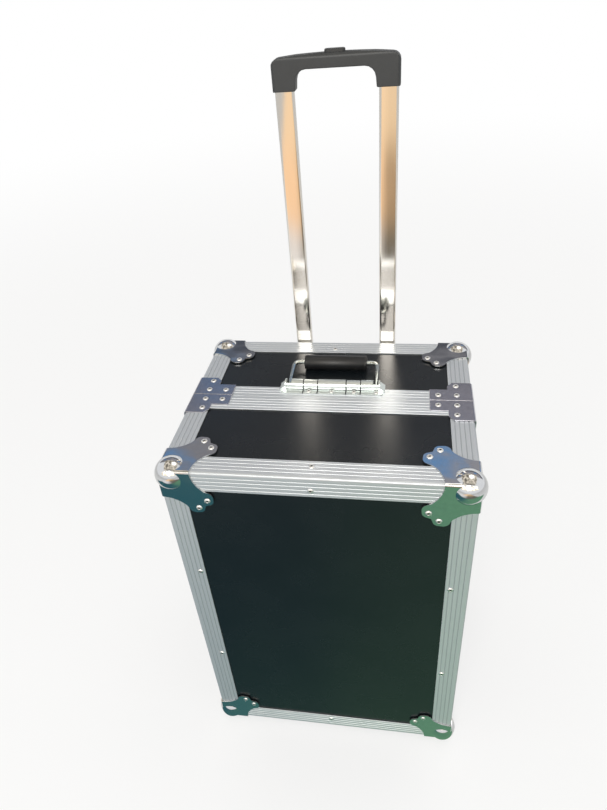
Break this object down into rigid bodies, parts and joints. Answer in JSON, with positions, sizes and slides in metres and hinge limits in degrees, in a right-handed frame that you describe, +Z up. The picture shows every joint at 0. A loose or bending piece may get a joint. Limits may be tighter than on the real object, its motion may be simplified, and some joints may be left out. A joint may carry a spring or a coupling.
{
  "type": "trolley case",
  "caption": "Upright flight case with a hinged front half, ribbed aluminium edges, ball corners, twist latches, a folding carry handle, a telescopic trolley handle and corner wheels.",
  "frame": {"origin": "on the floor under the centre of the whole object's box", "axes": "+X to the right seen from the front, +Y to the back, where the trolley handle is, +Z up"},
  "size_m": [0.417, 0.3496, 1.0208],
  "materials": {
    "black_laminate": "plywood with a black plastic laminate, semi-gloss",
    "ribbed_aluminium": "ribbed extrusion, anodised satin",
    "chrome_plate": "pressed steel, bright plated",
    "tube_chrome": "drawn tube, bright plated",
    "zinc_plate": "pressed steel, zinc plated",
    "dark_tube_steel": "drawn tube, dark painted",
    "moulded_plastic": "moulded, fine grain",
    "button_plastic": "moulded, fine grain",
    "black_rubber": "moulded rubber, satin",
    "wheel_rubber": "moulded rubber, matt"
  },
  "bodies": {
    "case": {"back_panel": "black_laminate", "body_left_panel": "black_laminate", "body_right_panel": "black_laminate", "body_top_panel": "black_laminate", "body_bottom_panel": "black_laminate", "back_angle_top": "ribbed_aluminium", "back_angle_bottom": "ribbed_aluminium", "back_angle_left": "ribbed_aluminium", "back_angle_right": "ribbed_aluminium", "body_parting_frame": "ribbed_aluminium", "body_ball_corner_top_left": "chrome_plate", "body_ball_corner_top_right": "chrome_plate", "carry_handle_base": "chrome_plate", "body_brace_top_left": "zinc_plate", "body_brace_top_right": "zinc_plate", "body_brace_bottom_left": "zinc_plate", "body_brace_bottom_right": "zinc_plate", "hinge_lower_body_leaf": "zinc_plate", "hinge_upper_body_leaf": "zinc_plate", "latch_lower_dish": "zinc_plate", "latch_upper_dish": "zinc_plate", "trolley_outer_tube_left": "dark_tube_steel", "trolley_outer_tube_right": "dark_tube_steel", "wheel_housing_left": "moulded_plastic", "wheel_housing_right": "moulded_plastic"},
    "lid": {"front_panel": "black_laminate", "lid_left_panel": "black_laminate", "lid_right_panel": "black_laminate", "lid_top_panel": "black_laminate", "lid_bottom_panel": "black_laminate", "front_angle_top": "ribbed_aluminium", "front_angle_bottom": "ribbed_aluminium", "front_angle_left": "ribbed_aluminium", "front_angle_right": "ribbed_aluminium", "lid_parting_frame": "ribbed_aluminium", "lid_ball_corner_top_left": "chrome_plate", "lid_ball_corner_top_right": "chrome_plate", "lid_ball_corner_bottom_left": "chrome_plate", "lid_ball_corner_bottom_right": "chrome_plate", "lid_brace_top_left": "zinc_plate", "lid_brace_top_right": "zinc_plate", "lid_brace_bottom_left": "zinc_plate", "lid_brace_bottom_right": "zinc_plate", "hinge_lower_lid_leaf": "zinc_plate", "hinge_upper_lid_leaf": "zinc_plate", "latch_lower_keeper": "zinc_plate", "latch_upper_keeper": "zinc_plate"},
    "trolley": {"trolley_inner_tube_left": "tube_chrome", "trolley_inner_tube_right": "tube_chrome", "trolley_grip": "moulded_plastic"},
    "trolley_button": {"trolley_button": "button_plastic"},
    "carry_handle": {"carry_handle_bail": "chrome_plate", "carry_handle_grip": "black_rubber"},
    "wheel_left": {"wheel_left": "wheel_rubber"},
    "wheel_right": {"wheel_right": "wheel_rubber"},
    "latch_lower_key": {"latch_lower_key": "zinc_plate"},
    "latch_lower_hook": {"latch_lower_hook": "zinc_plate"},
    "latch_upper_key": {"latch_upper_key": "zinc_plate"},
    "latch_upper_hook": {"latch_upper_hook": "zinc_plate"}
  },
  "joints": [
    {"name": "lid_hinge", "type": "hinge", "parent": "case", "child": "lid", "pos_m": [-0.2036, 0.0007, 0.3065], "axis": [0, 0, -1], "range_deg": [0, 170]},
    {"name": "trolley_slide", "type": "slide", "parent": "case", "child": "trolley", "axis": [0, 0, 1], "range_m": [-0.365, 0]},
    {"name": "trolley_button_press", "type": "slide", "parent": "trolley", "child": "trolley_button", "axis": [0, 0, -1], "range_m": [0, 0.003], "stiffness_N_per_m": 300, "springref_m": -0.002},
    {"name": "carry_handle_lift", "type": "hinge", "parent": "case", "child": "carry_handle", "pos_m": [0.003, 0.0272, 0.6087], "axis": [1, 0, 0], "range_deg": [0, 90]},
    {"name": "wheel_left_spin", "type": "hinge", "parent": "case", "child": "wheel_left", "pos_m": [-0.179, 0.1387, 0.029], "axis": [1, 0, 0], "continuous": true},
    {"name": "wheel_right_spin", "type": "hinge", "parent": "case", "child": "wheel_right", "pos_m": [0.179, 0.1387, 0.029], "axis": [1, 0, 0], "continuous": true},
    {"name": "latch_lower_turn", "type": "hinge", "parent": "case", "child": "latch_lower_key", "pos_m": [0.2, 0.0227, 0.1585], "axis": [1, 0, 0], "range_deg": [0, 180]},
    {"name": "latch_lower_pull", "type": "hinge", "parent": "case", "child": "latch_lower_hook", "pos_m": [0.1958, 0.0062, 0.1585], "axis": [0, 0, 1], "range_deg": [-7, 0]},
    {"name": "latch_upper_turn", "type": "hinge", "parent": "case", "child": "latch_upper_key", "pos_m": [0.2, 0.0227, 0.4585], "axis": [1, 0, 0], "range_deg": [0, 180]},
    {"name": "latch_upper_pull", "type": "hinge", "parent": "case", "child": "latch_upper_hook", "pos_m": [0.1958, 0.0062, 0.4585], "axis": [0, 0, 1], "range_deg": [-7, 0]}
  ],
  "couplings": [
    {"joint": "latch_lower_pull", "follows": "latch_lower_turn", "ratio": -0.03888},
    {"joint": "latch_upper_pull", "follows": "latch_upper_turn", "ratio": -0.03888}
  ]
}
